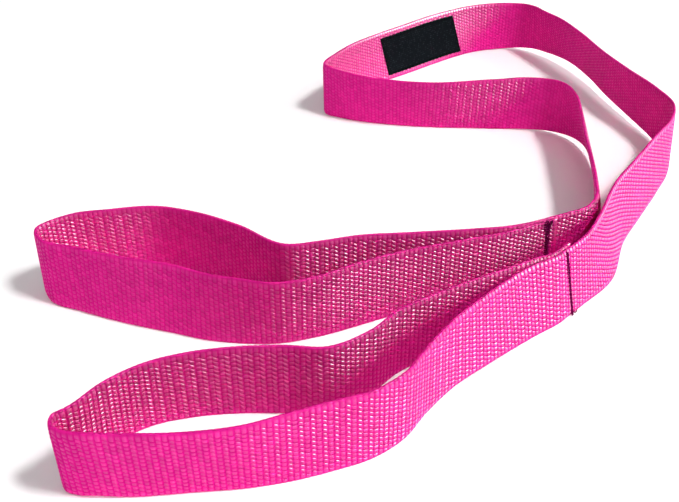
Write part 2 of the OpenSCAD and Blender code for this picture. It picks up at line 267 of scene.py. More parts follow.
class StrapThreadSettings(PropertyGroup):
    diameter: size_prop("Diameter", "Diameter of the sewing thread", 0.0004)
    rear_bar: size_prop("Rear bar width", "Width of the bar of stitches on the rear seam", 0.0019)
    front_bar: size_prop("Front bar width", "Width of the bar of stitches on the front seam", 0.0013)
    bar_spacing: size_prop("Bar spacing", "Distance between two threads of a bar", 0.00042)
    label_stitch: size_prop("Label stitch", "Length of one stitch of the label's border", 0.0025)
    label_inset: size_prop("Label inset", "Distance from the label's edge to its stitches", 0.001)
    seam_tint: colour_prop("Seam thread", "Colour of the seams' thread", (0.130, 0.003, 0.055))
    label_tint: colour_prop("Label thread", "Colour of the label's thread", (0.006, 0.006, 0.007))


class StrapLabelSettings(PropertyGroup):
    length: size_prop("Length", "Length of the label along the webbing", 0.0515)
    back: size_prop("Way back", "How far it lies from the middle of the run, towards the rear loop", 0.0065)
    height: size_prop("Height", "Height of the label", 0.020)
    thickness: size_prop("Thickness", "Thickness of the label at its hems", 0.0005)
    margin: size_prop("Margin", "Distance from the webbing's lower edge", 0.0024)
    hem: size_prop("Hem", "Length of the hem folded under each end", 0.005)
    skew: size_prop("Skew", "How far the upper edge is sewn back along the webbing from square", 0.004)
    tint: colour_prop("Label", "Colour of the label", (0.0065, 0.0085, 0.0105))
    fleck: colour_prop("Fleck", "Colour of the lighter yarns in the label", (0.020, 0.026, 0.031))


class StrapStageSettings(PropertyGroup):
    floor_size: size_prop("Floor size", "Width of the floor", 8.0)
    floor_tint: colour_prop("Floor", "Colour of the floor", (0.985, 0.985, 0.985))
    paper_near: size_prop("Shadow reach", "Distance up to which the floor shows its light and shade", 0.40)
    paper_far: size_prop("White reach", "Distance beyond which the floor looks plain white", 0.75)
    key_power: light_prop("Key power", "Power of the key light", 12.0, "POWER")
    key_size: size_prop("Key size", "Width of the key light", 0.22)
    fill_power: light_prop("Fill power", "Power of the fill light", 3.4, "POWER")
    fill_size: size_prop("Fill size", "Width of the fill light", 0.8)
    gloss_power: light_prop("Gloss strength", "Strength of the gloss light", 165.0)
    gloss_turn: angle_prop("Gloss direction", "Where the gloss light stands, turned from the right", -10)
    gloss_rise: angle_prop("Gloss height", "How high the gloss light stands over the floor", 30)
    gloss_spread: angle_prop("Gloss spread", "Width of the gloss light as seen from the strap", 24)
    sky: light_prop("Sky strength", "Strength of the light all round", 0.38)


def web_settings():
    return bpy.context.scene.strap_webbing


def thread_settings():
    return bpy.context.scene.strap_threads


def label_settings():
    return bpy.context.scene.strap_label


# ---------------------------------------------------------------- materials

# Relief up to which the grooves' colour, painted shade where it is darker, turns into the yarn's,
# and from which that turns into the tops', a painted highlight on the webbing and threads
YARN_LEVEL = 0.62
# Factors on the colour, each as its least and its growth: by yarn, by filament and by patch of cloth
TONE = (0.86, 0.16)
FILAMENTS = (0.88, 0.24)
PATCHES = (0.90, 0.20)
PATCHES_PER_METRE = 38.0
# What the lowest and the highest filaments add to the roughness, and how clear their bumps are
ROUGH_SPREAD = (-0.08, 0.10)
DENT_STRENGTH = 0.5
# Painted shade and highlight that turn round a thread with its twist, as shares of its own colour
TWIST_SHADES = (0.45, 1.0, 1.7)
# The coat of the webbing: relief where it begins and where it is full, height of the yarns under it
SHINE_FROM = 0.45
SHINE_FULL = 0.95
SHINE_HEIGHT = 0.00024
SHINE_IOR = 1.25
SHINE_ROUGHNESS = 0.46
MELT_ROUGHNESS = 0.3
WHITE = (1.0, 1.0, 1.0, 1.0)


def node_group(name, inputs, outputs):
    """A new shader group with float, vector or colour sockets, and its two end nodes."""
    kinds = {"float": "NodeSocketFloat", "vector": "NodeSocketVector", "colour": "NodeSocketColor"}
    group = bpy.data.node_groups.new(name, "ShaderNodeTree")
    for socket, kind in inputs.items():
        group.interface.new_socket(socket, in_out="INPUT", socket_type=kinds[kind])
    for socket, kind in outputs.items():
        group.interface.new_socket(socket, in_out="OUTPUT", socket_type=kinds[kind])
    return group, group.nodes.new("NodeGroupInput"), group.nodes.new("NodeGroupOutput")


def add(tree, kind, values=None, **settings):
    """A new node with its own settings and its sockets' values or links."""
    node = tree.nodes.new(kind)
    for key, value in settings.items():
        setattr(node, key, value)
    for key, value in (values or {}).items():
        if isinstance(value, bpy.types.NodeSocket):
            tree.links.new(value, node.inputs[key])
        else:
            node.inputs[key].default_value = value
    return node


def maths(tree, operation, a, b):
    return add(tree, "ShaderNodeMath", {0: a, 1: b}, operation=operation).outputs[0]


def factor(tree, value, spread):
    """The spread's least, and its growth added as the value goes from nought to one."""
    least, growth = spread
    return add(tree, "ShaderNodeMath", {0: value, 1: growth, 2: least}, operation="MULTIPLY_ADD").outputs[0]


def eased(tree, value, low, high):
    """Nought up to low, one from high on, and smooth between them."""
    return add(tree, "ShaderNodeMapRange", {"Value": value, "From Min": low, "From Max": high},
               interpolation_type="SMOOTHSTEP").outputs[0]


def mixed(tree, share, a, b):
    """Colour a, and b as the share goes from nought to one."""
    return add(tree, "ShaderNodeMix", {0: share, 6: a, 7: b}, data_type="RGBA").outputs[2]


def from_mesh(tree, name):
    """The node that reads one of the mesh's own attributes."""
    return add(tree, "ShaderNodeAttribute", attribute_name=name, attribute_type="GEOMETRY")


def opaque(colour):
    return (*colour, 1.0)


def fibre_group():
    """Fine filaments that run along a yarn, and slow changes of tone along the cloth."""
    if "Yarn Fibres" in bpy.data.node_groups:
        return bpy.data.node_groups["Yarn Fibres"]
    group, start, end = node_group(
        "Yarn Fibres",
        {"Place": "vector", "Along": "float", "Across": "float", "Patches": "float"},
        {"Filament": "float", "Patch": "float"},
    )
    stretch = add(group, "ShaderNodeCombineXYZ", {0: start.outputs["Along"], 1: start.outputs["Across"]})
    place = add(group, "ShaderNodeVectorMath", {0: start.outputs["Place"], 1: stretch.outputs[0]},
                operation="MULTIPLY")
    fine = add(group, "ShaderNodeTexNoise", {"Vector": place.outputs[0], "Scale": 1.0, "Detail": 3.0,
                                             "Roughness": 0.6})
    patch = add(group, "ShaderNodeTexNoise", {"Vector": start.outputs["Place"],
                                              "Scale": start.outputs["Patches"], "Detail": 2.0})
    group.links.new(fine.outputs[0], end.inputs["Filament"])
    group.links.new(patch.outputs[0], end.inputs["Patch"])
    return group


def relief_group():
    """Colour of cloth by how far its yarn stands out, where darker grooves are painted shade and paler tops
    a painted highlight, with filaments and patches laid over it.
    """
    if "Relief Colour" in bpy.data.node_groups:
        return bpy.data.node_groups["Relief Colour"]
    group, start, end = node_group(
        "Relief Colour",
        {"Relief": "float", "Tint": "float", "Filament": "float", "Patch": "float",
         "Gap": "colour", "Body": "colour", "Top Colour And Highlight": "colour"},
        {"Colour": "colour"},
    )
    lower = eased(group, start.outputs["Relief"], 0.0, YARN_LEVEL)
    upper = eased(group, start.outputs["Relief"], YARN_LEVEL, 1.0)
    low = mixed(group, lower, start.outputs["Gap"], start.outputs["Body"])
    base = mixed(group, upper, low, start.outputs["Top Colour And Highlight"])
    tone = factor(group, start.outputs["Tint"], TONE)
    fibre = factor(group, start.outputs["Filament"], FILAMENTS)
    patch = factor(group, start.outputs["Patch"], PATCHES)
    shade = maths(group, "MULTIPLY", maths(group, "MULTIPLY", tone, fibre), patch)
    scaled = add(group, "ShaderNodeVectorMath", {0: base, "Scale": shade}, operation="SCALE")
    group.links.new(scaled.outputs[0], end.inputs["Colour"])
    return group


def cloth_material(name, colours, along, across, roughness, dent):
    """Matt cloth or thread, with filaments in its colour, roughness and bump.

    colours are those of its grooves, painted shade where darker than the yarn, of its yarn, and of the
    yarn's tops, a painted highlight on the webbing and threads and paler yarns on the label. along and
    across are the filaments' scales on the yarn, and dent is how deep their bumps are.
    """
    material = bpy.data.materials.new(name)
    material.use_nodes = True
    tree = material.node_tree
    shader = tree.nodes["Principled BSDF"]
    shader.inputs["Specular IOR Level"].default_value = 0.0
    place = from_mesh(tree, "yarn_place").outputs["Vector"]
    fibres = add(tree, "ShaderNodeGroup", {"Place": place, "Along": along, "Across": across,
                                           "Patches": PATCHES_PER_METRE}, node_tree=fibre_group())
    filament = fibres.outputs["Filament"]
    gap, body, top_colour_and_highlight = (opaque(colour) for colour in colours)
    relief = from_mesh(tree, "relief").outputs["Fac"]
    tint = from_mesh(tree, "yarn_tint").outputs["Fac"]
    cloth = add(tree, "ShaderNodeGroup", {
        "Relief": relief, "Tint": tint, "Filament": filament, "Patch": fibres.outputs["Patch"],
        "Gap": gap, "Body": body, "Top Colour And Highlight": top_colour_and_highlight}, node_tree=relief_group())
    low, high = ROUGH_SPREAD
    rough = add(tree, "ShaderNodeMapRange", {"Value": filament, "To Min": roughness + low,
                                             "To Max": roughness + high})
    dents = add(tree, "ShaderNodeBump", {"Height": filament, "Strength": DENT_STRENGTH, "Distance": dent})
    tree.links.new(cloth.outputs["Colour"], shader.inputs["Base Color"])
    tree.links.new(rough.outputs[0], shader.inputs["Roughness"])
    tree.links.new(dents.outputs[0], shader.inputs["Normal"])
    return material


def webbing_material():
    """Pink woven nylon that shines on its yarns. Its cut ends are melted smooth and deeper in colour."""
    name = "webbing_nylon"
    if name in bpy.data.materials:
        return bpy.data.materials[name]
    s = web_settings()
    # The grooves are painted darker as shade, and the tops paler and bluer as a painted highlight
    material = cloth_material(name, (s.gap, s.body, s.top_colour_and_highlight), along=500, across=5200, roughness=0.60,
                              dent=0.00001)
    tree = material.node_tree
    inputs = tree.nodes["Principled BSDF"].inputs
    melt = from_mesh(tree, "melted").outputs["Fac"]
    woven = inputs["Base Color"].links[0].from_socket
    tree.links.new(mixed(tree, melt, woven, opaque(s.melt_tint)), inputs["Base Color"])
    rough = inputs["Roughness"].links[0].from_socket
    smooth = add(tree, "ShaderNodeMix", {0: melt, 2: rough, 3: MELT_ROUGHNESS}, data_type="FLOAT")
    tree.links.new(smooth.outputs[0], inputs["Roughness"])
    # Only the coat shines. It lies on the tops of the yarns and follows how round they are
    relief = from_mesh(tree, "relief").outputs["Fac"]
    bulge = add(tree, "ShaderNodeBump", {"Height": relief, "Distance": SHINE_HEIGHT})
    tree.links.new(bulge.outputs[0], inputs["Coat Normal"])
    tree.links.new(eased(tree, relief, SHINE_FROM, SHINE_FULL), inputs["Coat Weight"])
    inputs["Coat IOR"].default_value = SHINE_IOR
    inputs["Coat Roughness"].default_value = SHINE_ROUGHNESS
    return material


def label_material():
    """Black damask-woven label with a few paler yarns."""
    s = label_settings()
    return cloth_material("label_damask", (s.tint, s.tint, s.fleck), along=900, across=7000,
                          roughness=0.8, dent=0.00003)


def thread_material(name, tint):
    """Twisted polyester sewing thread."""
    if name in bpy.data.materials:
        return bpy.data.materials[name]
    # Painted shade, the thread's own colour and a painted highlight
    shades = [tuple(share * part for part in tint) for share in TWIST_SHADES]
    return cloth_material(name, shades, along=900, across=9000, roughness=0.5, dent=0.00003)


# ---------------------------------------------------------------- mesh building


def new_piece(name, rows, faces, material, attributes):
    """A smooth-shaded mesh object with float or vector attributes on its points."""
    mesh = bpy.data.meshes.new(name)
    mesh.from_pydata(rows.tolist(), [], faces)
    for key, values in attributes.items():
        values = np.asarray(values, np.float32)
        kind, field = ("FLOAT", "value") if values.ndim == 1 else ("FLOAT_VECTOR", "vector")
        mesh.attributes.new(key, kind, "POINT").data.foreach_set(field, values.ravel())
    mesh.materials.append(material)
    mesh.shade_smooth()
    mesh.validate()
    piece = bpy.data.objects.new(name, mesh)
    bpy.context.scene.collection.objects.link(piece)
    return piece


def tube_faces(n, m, first=0, closed_ends=True):
    """Faces round n rings of m points each, with a flat face on each end where they are closed."""
    i, j = np.meshgrid(np.arange(n - 1), np.arange(m), indexing="ij")
    after = (j + 1) % m
    quads = np.stack([i * m + j, i * m + after, (i + 1) * m + after, (i + 1) * m + j], -1) + first
    faces = quads.reshape(-1, 4).tolist()
    if closed_ends:
        faces.append([first + k for k in range(m - 1, -1, -1)])
        faces.append([first + (n - 1) * m + k for k in range(m)])
    return faces


def smoothstep(x):
    x = np.clip(x, 0, 1)
    return x * x * (3 - 2 * x)


def wave(x):
    """A wave between nought and one, which starts at one."""
    return 0.5 + 0.5 * np.cos(x)


def grown(spread, value):
    """The spread's least, and its growth added as the value goes from nought to one."""
    least, growth = spread
    return least + growth * value


# ---------------------------------------------------------------- webbing

# Places of the samples over one row and over one pick. The first of each lies in the groove
ROW_PLACES = (0.0, 0.24, 0.76)
PICK_PLACES = (0.0, 0.26, 0.74)
# Steps round a selvedge
EDGE_STEPS = 6
# Relief sets both the yarn's height and its colour's painted shade in the grooves and painted highlight on
# the tops
# Heights of the yarn at those samples, from the grooves to the tops, and where two grooves cross
PICK_HEIGHTS = (0.25, 1.0, 0.98)
ROW_HEIGHTS = (0.0, 0.98, 1.0)
MEET_FLOOR = 0.22
# Height of the outermost row of each face, of the selvedges from groove to top, and of a melted end
OUTER_HEIGHT = 0.85
EDGE_HEIGHT = (0.15, 0.45)
MELT_HEIGHT = 0.75
# Factor on a yarn's height by its tone, as its least and its growth
TONE_HEIGHT = (0.88, 0.12)
# How far the selvedges are notched between the picks, as a share of their round
EDGE_NOTCH = 0.15
# How far each pick's rows are set over, in rows, so that neighbours lie half a row apart
PICK_OFFSET = 0.25
# How far the flatter picks lean, as a share of what the others do, and the other way if below zero
FLAT_LEAN = -0.10
# Spread of the picks' heights and tones, drawn once for the whole webbing
YARN_SEED = 7
# How far each seam's upper end lies past its lower end, along the run's own way of travel
REAR_SKEW = -0.0025
FRONT_SKEW = 0.0020
# Half the width of the trench that a seam's stitches pull
TRENCH_REACH = 0.0009
# How much thinner the webbing is at its selvedges, and how fast that dies out by the row
EDGE_TAPER = 0.28
TAPER_FALL = 2.0
# Length over which a cut end's slope dies out
SKEW_REACH = 0.012


class Section:
    """The corners of one cross-section of the webbing, in order round it from its lower edge."""

    def __init__(self, settings):
        pitch = WEB_W / settings.rows
        rows = settings.rows - 1
        steps = len(ROW_PLACES)
        self.pitch = pitch
        place = (np.arange(rows)[:, None] + np.array(ROW_PLACES)).ravel()
        up = pitch / 2 + np.append(place, rows) * pitch
        deep = np.append(np.tile(ROW_HEIGHTS, rows), 0.0)
        deep[[0, -1]] = OUTER_HEIGHT
        row = np.append(np.repeat(np.arange(rows), steps), rows - 1)
        groove = np.append(np.tile(np.arange(steps) == 0, rows), False)
        groove[0] = False
        angle = np.pi * np.arange(1, EDGE_STEPS) / EDGE_STEPS
        n, m = len(up), len(angle)
        flat = np.zeros(n)
        full = np.ones(m)
        plain = np.zeros(m, bool)
        # Heights up the width, shares of the selvedges' round and of half the thickness, heights of the
        # yarns there, which row each corner belongs to, and which corners lie in a groove or a selvedge
        self.up = np.concatenate([up, (WEB_W - pitch / 2) * full, up[::-1], pitch / 2 * full])
        self.arc = np.concatenate([flat, np.sin(angle), flat, -np.sin(angle)])
        self.out = np.concatenate([flat + 1, np.cos(angle), flat - 1, -np.cos(angle)])
        self.deep = np.concatenate([deep, full, deep[::-1], full])
        self.row = np.concatenate([row, np.full(m, rows), rows + 2 + row[::-1], np.full(m, rows + 1)])
        self.groove = np.concatenate([groove, plain, groove[::-1], plain])
        self.edge = self.arc != 0
        self.n = len(self.up)
        self.face_points = n
        self.edge_points = m


def pick_samples(first, last):
    """Lengths of the samples from one pick to another, with each one's pick and place in it."""
    steps = len(PICK_PLACES)
    index = np.arange(first * steps, last * steps + 1)
    pick, sample = index // steps, index % steps
    return (pick + np.array(PICK_PLACES)[sample]) * pick_length(), pick, sample


def pick_length():
    return ROUTE.total / web_settings().pairs / 2


def row_shift(pick, sample, slant, out):
    """How far the rows lie up or down at each sample, on either face of the webbing.

    Neighbouring picks lie half a row apart. By turns one leans and the next lies flatter, and the picks
    that lean on one face lie flatter on the other.
    """
    half = slant / 2
    flat = FLAT_LEAN * half
    leaning = np.array([half, half - PICK_OFFSET, -half - PICK_OFFSET])
    lying = np.array([-flat, PICK_OFFSET - flat, PICK_OFFSET + flat])
    even = pick % 2 == 0
    front = np.where(even, -lying[sample], -leaning[sample])
    back = np.where(even, leaning[sample], lying[sample])
    return np.where(out > 0, front[:, None], back[:, None])


def seam_lines(up):
    """Lengths of the two seams in each ply that they pass through, for heights up the webbing."""
    rise = up / WEB_W - 0.5
    return (END_LEN - REAR_SKEW * rise, ROUTE.rear_seam + REAR_SKEW * rise,
            ROUTE.front_seam + FRONT_SKEW * rise, ROUTE.total - END_LEN - FRONT_SKEW * rise)


def end_slope(s, up):
    """How far the picks are set over near the two cut ends, which are parallel to their seams."""
    rise = up / WEB_W
    start = 1 - smoothstep(s / SKEW_REACH)
    stop = 1 - smoothstep((ROUTE.total - s) / SKEW_REACH)
    return (-REAR_SKEW * start - FRONT_SKEW * stop) * rise


def woven_points(s, pick, sample, section, settings):
    """The webbing's points at lengths s, with their relief, tone, place on the yarn and melt."""
    rng = np.random.RandomState(YARN_SEED)
    spread = rng.rand(2 * settings.pairs + 1, 2 * settings.rows + 4)
    tint = spread[pick][:, section.row]
    near_end = np.minimum(s, ROUTE.total - s)
    melt = (1 - smoothstep(near_end / settings.melt))[:, None]
    profile = np.array(PICK_HEIGHTS)[sample][:, None]
    meet = (sample == 0)[:, None]
    relief = profile * section.deep
    relief = np.where(meet & section.groove, MEET_FLOOR, relief)
    relief = np.where(section.edge, grown(EDGE_HEIGHT, profile), relief)
    relief = relief * grown(TONE_HEIGHT, tint)
    relief = relief * (1 - melt) + MELT_HEIGHT * melt
    rows_in = np.minimum(section.up, WEB_W - section.up) / section.pitch
    taper = EDGE_TAPER * np.exp(-TAPER_FALL * rows_in**2)
    half = WEB_T / 2 * (1 - taper) - settings.groove * (1 - relief)
    # The rows begin to lean half a row in, where the flat face begins, and lean in full a row further
    window = np.clip(rows_in - 0.5, 0, 1)
    shift = row_shift(pick, sample, settings.slant, section.out)
    up = section.up + shift * section.pitch * window * (1 - melt)
    # The selvedges are round, and notched between the picks
    nose = section.pitch / 2 * (1 - EDGE_NOTCH * (1 - relief))
    bulge = np.where(section.edge, np.sqrt(np.abs(section.out)), 1.0) * np.sign(section.out)
    up = up + section.arc * nose
    along = s[:, None] + end_slope(s[:, None], up)
    for line in seam_lines(up):
        half = half - settings.trench * np.exp(-(((along - line) / TRENCH_REACH) ** 2))
    points = ROUTE.place(along, up, half * bulge)
    yarn = np.stack(np.broadcast_arrays(s[:, None], section.up, 0 * up), -1)
    return points, relief, tint, yarn, np.broadcast_to(melt, relief.shape)


def cap_faces(section, first, flip):
    """The flat end of the webbing, as a strip from face to face and a round piece at each selvedge."""
    n, m = section.face_points, section.edge_points
    left = np.arange(n)
    right = n + m + np.arange(n)[::-1]
    faces = [[left[k], left[k + 1], right[k + 1], right[k]] for k in range(n - 1)]
    faces.append([left[-1], *range(n, n + m), right[-1]])
    faces.append([right[0], *range(2 * n + m, 2 * n + 2 * m), left[0]])
    faces = [[int(first + k) for k in face] for face in faces]
    return [face[::-1] for face in faces] if flip else faces


def webbing_piece(name, first, last):
    """Woven webbing from one pick to another."""
    settings = web_settings()
    section = Section(settings)
    s, pick, sample = pick_samples(first, last)
    points, relief, tint, yarn, melt = woven_points(s, pick, sample, section, settings)
    n = section.n
    faces = tube_faces(len(s), n, closed_ends=False)
    faces += cap_faces(section, 0, flip=False)
    faces += cap_faces(section, (len(s) - 1) * n, flip=True)
    piece = new_piece(name, points.reshape(-1, 3), faces, webbing_material(), {
        "relief": relief.ravel(), "yarn_tint": tint.ravel(), "melted": melt.ravel(),
        "yarn_place": yarn.reshape(-1, 3)})
    crease_grooves(piece.data, section, sample)
    return piece


def crease_grooves(mesh, section, sample):
    """Keeps each yarn round by letting the shading break along the grooves between them."""
    ends = np.empty(2 * len(mesh.edges), int)
    mesh.edges.foreach_get("vertices", ends)
    at, corner = np.divmod(ends.reshape(-1, 2), section.n)
    same_row = (corner[:, 0] == corner[:, 1]) & section.groove[corner[:, 0]]
    same_pick = (at[:, 0] == at[:, 1]) & (sample[at[:, 0]] == 0)
    sharp = mesh.attributes.new("sharp_edge", "BOOLEAN", "EDGE")
    sharp.data.foreach_set("value", same_row | same_pick)


def piece_ends():
    """Picks at which the run's piece meets the loops' pieces."""
    pair = 2 * pick_length()
    overlap = web_settings().overlap
    return (2 * math.ceil((ROUTE.rear_fold + overlap) / pair),
            2 * math.floor((ROUTE.front_fold - overlap) / pair))


def bend_over_fold(piece, fold, way):
    """Bakes a loop's piece in place. It follows the run on one side of its fold and the loop on the other.
    """
    soft = web_settings().fold_soft
    start = ROUTE.place(fold + way * soft, WEB_W / 2, 0)
    end = ROUTE.place(fold - way * soft, WEB_W / 2, 0)
    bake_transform(piece)


def declare_sheet(node):
    """Hides the frame's part for the length of webbing that a piece stands for."""
    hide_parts(node)


class STRAP_OT_webbing(Operator):
    """Weave the webbing as three pieces: both hand loops over their folds, and the run between"""

    bl_idname = "strap.webbing"
    bl_label = "Webbing"

    def execute(self, context):
        rear_end, front_start = piece_ends()
        last = 2 * web_settings().pairs
        rear = webbing_piece("webbing_rear_loop", 0, rear_end)
        bend_over_fold(rear, ROUTE.rear_fold, 1)
        declare_sheet("rear_loop_webbing")
        run = webbing_piece("webbing_run", rear_end, front_start)
        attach(run, "run")
        declare_sheet("run_webbing")
        front = webbing_piece("webbing_front_loop", front_start, last)
        bend_over_fold(front, ROUTE.front_fold, -1)
        declare_sheet("front_loop_webbing")
        return {"FINISHED"}


# ---------------------------------------------------------------- sewing threads

THREAD_SIDES = 8
# Turn of a thread's twist over a length of one diameter, in radians
TWIST = 2.2
# A stitch of a bar: its points, its slant as a share of the spacing, and in radii of the thread how
# high its middle stands and how far its ends dip below that
BAR_POINTS = 7
BAR_SLANT = 0.55
BAR_TOP = 0.9
BAR_DIP = 1.9
# The rear bar is wider by this share over this length at its upper end, and widens over that one
WIDE_SHARE = 0.9
WIDE_LENGTH = 0.0055
WIDE_EASE = 0.003
# A loose curl: the unit of its offsets, points to each of them, and points over which it is smoothed
CURL_UNIT = 0.001
CURL_STEPS = 6
CURL_SMOOTH = 5
# How far inside the webbing's edges the curls start at the rear seam's top and the front seam's foot
CURL_INSET_REAR = 0.0003
CURL_INSET_FRONT = 0.0002


def thread_tube(path, outs, diameter):
    """Rings of a thread along a path, square to it, with outs as each point's way up."""
    ahead = np.gradient(path, axis=0)
    ahead /= np.linalg.norm(ahead, axis=1)[:, None]
    across = np.cross(ahead, outs)
    across /= np.linalg.norm(across, axis=1)[:, None]
    above = np.cross(across, ahead)
    turn = 2 * np.pi * np.arange(THREAD_SIDES) / THREAD_SIDES
    ring = across[:, None] * np.cos(turn)[None, :, None] + above[:, None] * np.sin(turn)[None, :, None]
    return path[:, None] + diameter / 2 * ring, turn


def thread_piece(name, strands, tint, material_name):
    """One piece of sewing thread made of strands, each a path with its ways up."""
    diameter = thread_settings().diameter
    rows, faces, relief, places = [], [], [], []
    first = 0
    for path, outs in strands:
        rings, turn = thread_tube(path, outs, diameter)
        n = len(path)
        run = np.concatenate([[0], np.cumsum(np.linalg.norm(np.diff(path, axis=0), axis=1))])
        faces += tube_faces(n, THREAD_SIDES, first)
        rows.append(rings.reshape(-1, 3))
        # The twist of the thread shows as a slow turn of painted highlight and painted shade round it
        twist = 0.5 + 0.5 * np.sin(turn[None, :] + run[:, None] / diameter * TWIST)
        relief.append(twist.ravel())
        place = np.stack(np.broadcast_arrays(run[:, None], turn[None, :] * diameter / 2, 0.0), -1)
        places.append(place.reshape(-1, 3))
        first += n * THREAD_SIDES
    rows = np.concatenate(rows)
    return new_piece(name, rows, faces, thread_material(material_name, tint), {
        "relief": np.concatenate(relief), "yarn_tint": np.full(len(rows), 0.5),
        "yarn_place": np.concatenate(places)})


def on_face(seam, ds, u, side, face, height):
    """Points near a seam on one face of the webbing, and the way out of that face."""
    point = ROUTE.place(seam + np.asarray(ds), u, side * (face + np.asarray(height)))
    inner = ROUTE.place(seam + 0 * np.asarray(ds), u, 0 * np.asarray(height))
    outer = ROUTE.place(seam + 0 * np.asarray(ds), u, 0 * np.asarray(height) + side)
    outs = outer - inner
    return point, outs / np.linalg.norm(outs, axis=-1)[..., None]


def bar_strands(seam, skew, side, face, width_at):
    """Close stitches that cross a seam to and fro up the whole width of the webbing."""
    s = thread_settings()
    strands = []
    count = int((WEB_W - 2 * s.diameter) / s.bar_spacing)
    t = np.linspace(-1, 1, BAR_POINTS)
    for k in range(count):
        u = s.diameter + s.bar_spacing * (k + 0.5)
        half = width_at(u) / 2
        slope = BAR_SLANT * s.bar_spacing * (1 if k % 2 else -1)
        ds = t * half + skew * (u / WEB_W - 0.5)
        up = u + t * slope
        height = s.diameter / 2 * (BAR_TOP - BAR_DIP * t**4)
        strands.append(on_face(seam, ds, up, side, face, height))
    return strands


def front_bar(u):
    return thread_settings().front_bar


def rear_bar(u):
    """The rear seam's bar, sewn wider over its last few millimetres at the upper edge."""
    wide = smoothstep((u - (WEB_W - WIDE_LENGTH)) / WIDE_EASE)
    return thread_settings().rear_bar * (1 + WIDE_SHARE * wide)


def loose_curl(seam, ds, u, side, face, turns):
    """A loose curl of thread that stands off the cloth. turns lists its offsets in millimetres."""
    offsets = np.array(turns) * CURL_UNIT
    fine = np.linspace(0, len(offsets) - 1, CURL_STEPS * len(offsets))
    index = np.arange(len(offsets))
    along, up, out = (np.interp(fine, index, column) for column in offsets.T)
    kernel = np.ones(CURL_SMOOTH) / CURL_SMOOTH
    wing = CURL_SMOOTH // 2
    along, up, out = (np.convolve(np.pad(v, wing, mode="edge"), kernel, "valid") for v in (along, up, out))
    return on_face(seam, ds + along, u + up, side, face, out)


def seam_piece(name, seam, skew, side, face, width_at, extra, body):
    """One thread of a seam: its bar of stitches and its loose curls."""
    s = thread_settings()
    strands = bar_strands(seam, skew, side, face - web_settings().trench, width_at) + extra
    piece = thread_piece(name, strands, s.seam_tint, "seam_polyester")
    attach(piece, body)
    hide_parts(name + "_thread")


class STRAP_OT_seams(Operator):
    """Sew both seams, each with a needle thread and a bobbin thread"""

    bl_idname = "strap.seams"
    bl_label = "Seam threads"

    def execute(self, context):
        ply = WEB_T / 2
        cut_ply = WEB_T * 3 / 2 + PLY_GAP
        top = WEB_W - CURL_INSET_REAR
        rear = ROUTE.rear_seam
        front = ROUTE.front_seam
        # Two curls at the rear seam's upper end, and two thread ends at the front seam's foot
        curls = (
            [(-0.9, -0.9, 0.2), (-1.5, 0.1, 0.4), (-1.3, 0.9, 0.4), (-0.6, 1.1, 0.5), (-0.2, 0.5, 0.4),
             (-0.6, -0.2, 0.3)],
            [(0.4, -0.9, 0.2), (0.7, 0.3, 0.4), (1.3, 0.7, 0.4), (1.6, 0.1, 0.4), (1.2, -0.7, 0.2)],
        )
        rear_extra = [loose_curl(rear, REAR_SKEW / 2, top, -1, cut_ply, turns) for turns in curls]
        seam_piece("rear_seam_needle", rear, REAR_SKEW, -1, cut_ply, rear_bar, rear_extra, "rear_loop")
        seam_piece("rear_seam_bobbin", rear, REAR_SKEW, 1, ply, rear_bar, [], "rear_loop")
        ends = (
            [(-0.2, 0.9, 0.2), (-0.8, 0.4, 0.5), (-1.4, 0.3, 0.5), (-2.1, 0.6, 0.35)],
            [(0.3, 0.5, 0.3), (0.9, 0.6, 0.6), (1.1, 0.2, 0.6), (0.5, 0.1, 0.5), (0.3, 0.5, 0.4)],
        )
        front_extra = [loose_curl(front, -FRONT_SKEW / 2, CURL_INSET_FRONT, 1, ply, turns) for turns in ends]
        seam_piece("front_seam_needle", front, FRONT_SKEW, -1, cut_ply, front_bar, [], "front_loop")
        seam_piece("front_seam_bobbin", front, FRONT_SKEW, 1, ply, front_bar, front_extra, "front_loop")
        return {"FINISHED"}


# ---------------------------------------------------------------- label

# Distance between two points of the label's cloth
LABEL_STEP = 0.0005
# Lengths over which its hems end, its edges are rounded and its stitches pull it in, and how deep its
# back sits in the webbing's face
HEM_EASE = 0.0006
EDGE_EASE = 0.0004
PULL_REACH = 0.0005
LABEL_SINK = 0.00005
# Thickness as a share of that at the hems, by its plies, by the stitches' pull and towards its edges
PLIES = (0.72, 0.28)
STITCH_PULL = 0.32
PULL_SPREAD = (0.45, 0.55)
EDGE_THIN = (0.55, 0.45)
# Its woven ribs, and how far its long edges wave between the stitches
RIB_PITCH = 0.001
RIB_HEIGHT = 0.00002
EDGE_WAVE = 0.00012
# Relief of its yarns, what a paler yarn adds, and the share of yarns that aren't paler
# The ribs' relief turns their crests a little towards the paler colour, a faint painted highlight
RIB_RELIEF = (0.35, 0.35)
FLECK_RELIEF = 0.3
DARK_SHARE = 0.8
# A stitch of its border: its points, where it starts and how long it is as shares of its spacing, and
# in diameters of the thread how high its middle stands and how far its ends dip below that
STITCH_POINTS = 9
STITCH_START = 0.07
STITCH_SHARE = 0.86
STITCH_TOP = 0.45
STITCH_DIP = 1.1
# Where the needle thread lies, as a share of the label's thickness, and how deep the bobbin thread lies
NEEDLE_LEVEL = 0.4
BOBBIN_SINK = 0.00015


def label_place(a, b):
    """Length along the webbing at a along the label and b up it. Its upper edge leans back."""
    s = label_settings()
    start = (ROUTE.rear_seam + ROUTE.front_seam - s.length) / 2 - s.back
    return start + a - s.skew * (b / s.height - 0.5)


def stitch_border(settings, threads):
    """Length and height of each point of the stitch line round the label, from one lower corner."""
    inset = threads.label_inset
    long, high = settings.length - 2 * inset, settings.height - 2 * inset
    round_length = 2 * (long + high)

    def at(d):
        d = d % round_length
        if d < long:
            return inset + d, inset
        if d < long + high:
            return inset + long, inset + d - long
        if d < 2 * long + high:
            return inset + 2 * long + high - d, inset + high
        return inset, inset + round_length - d

    return at, round_length


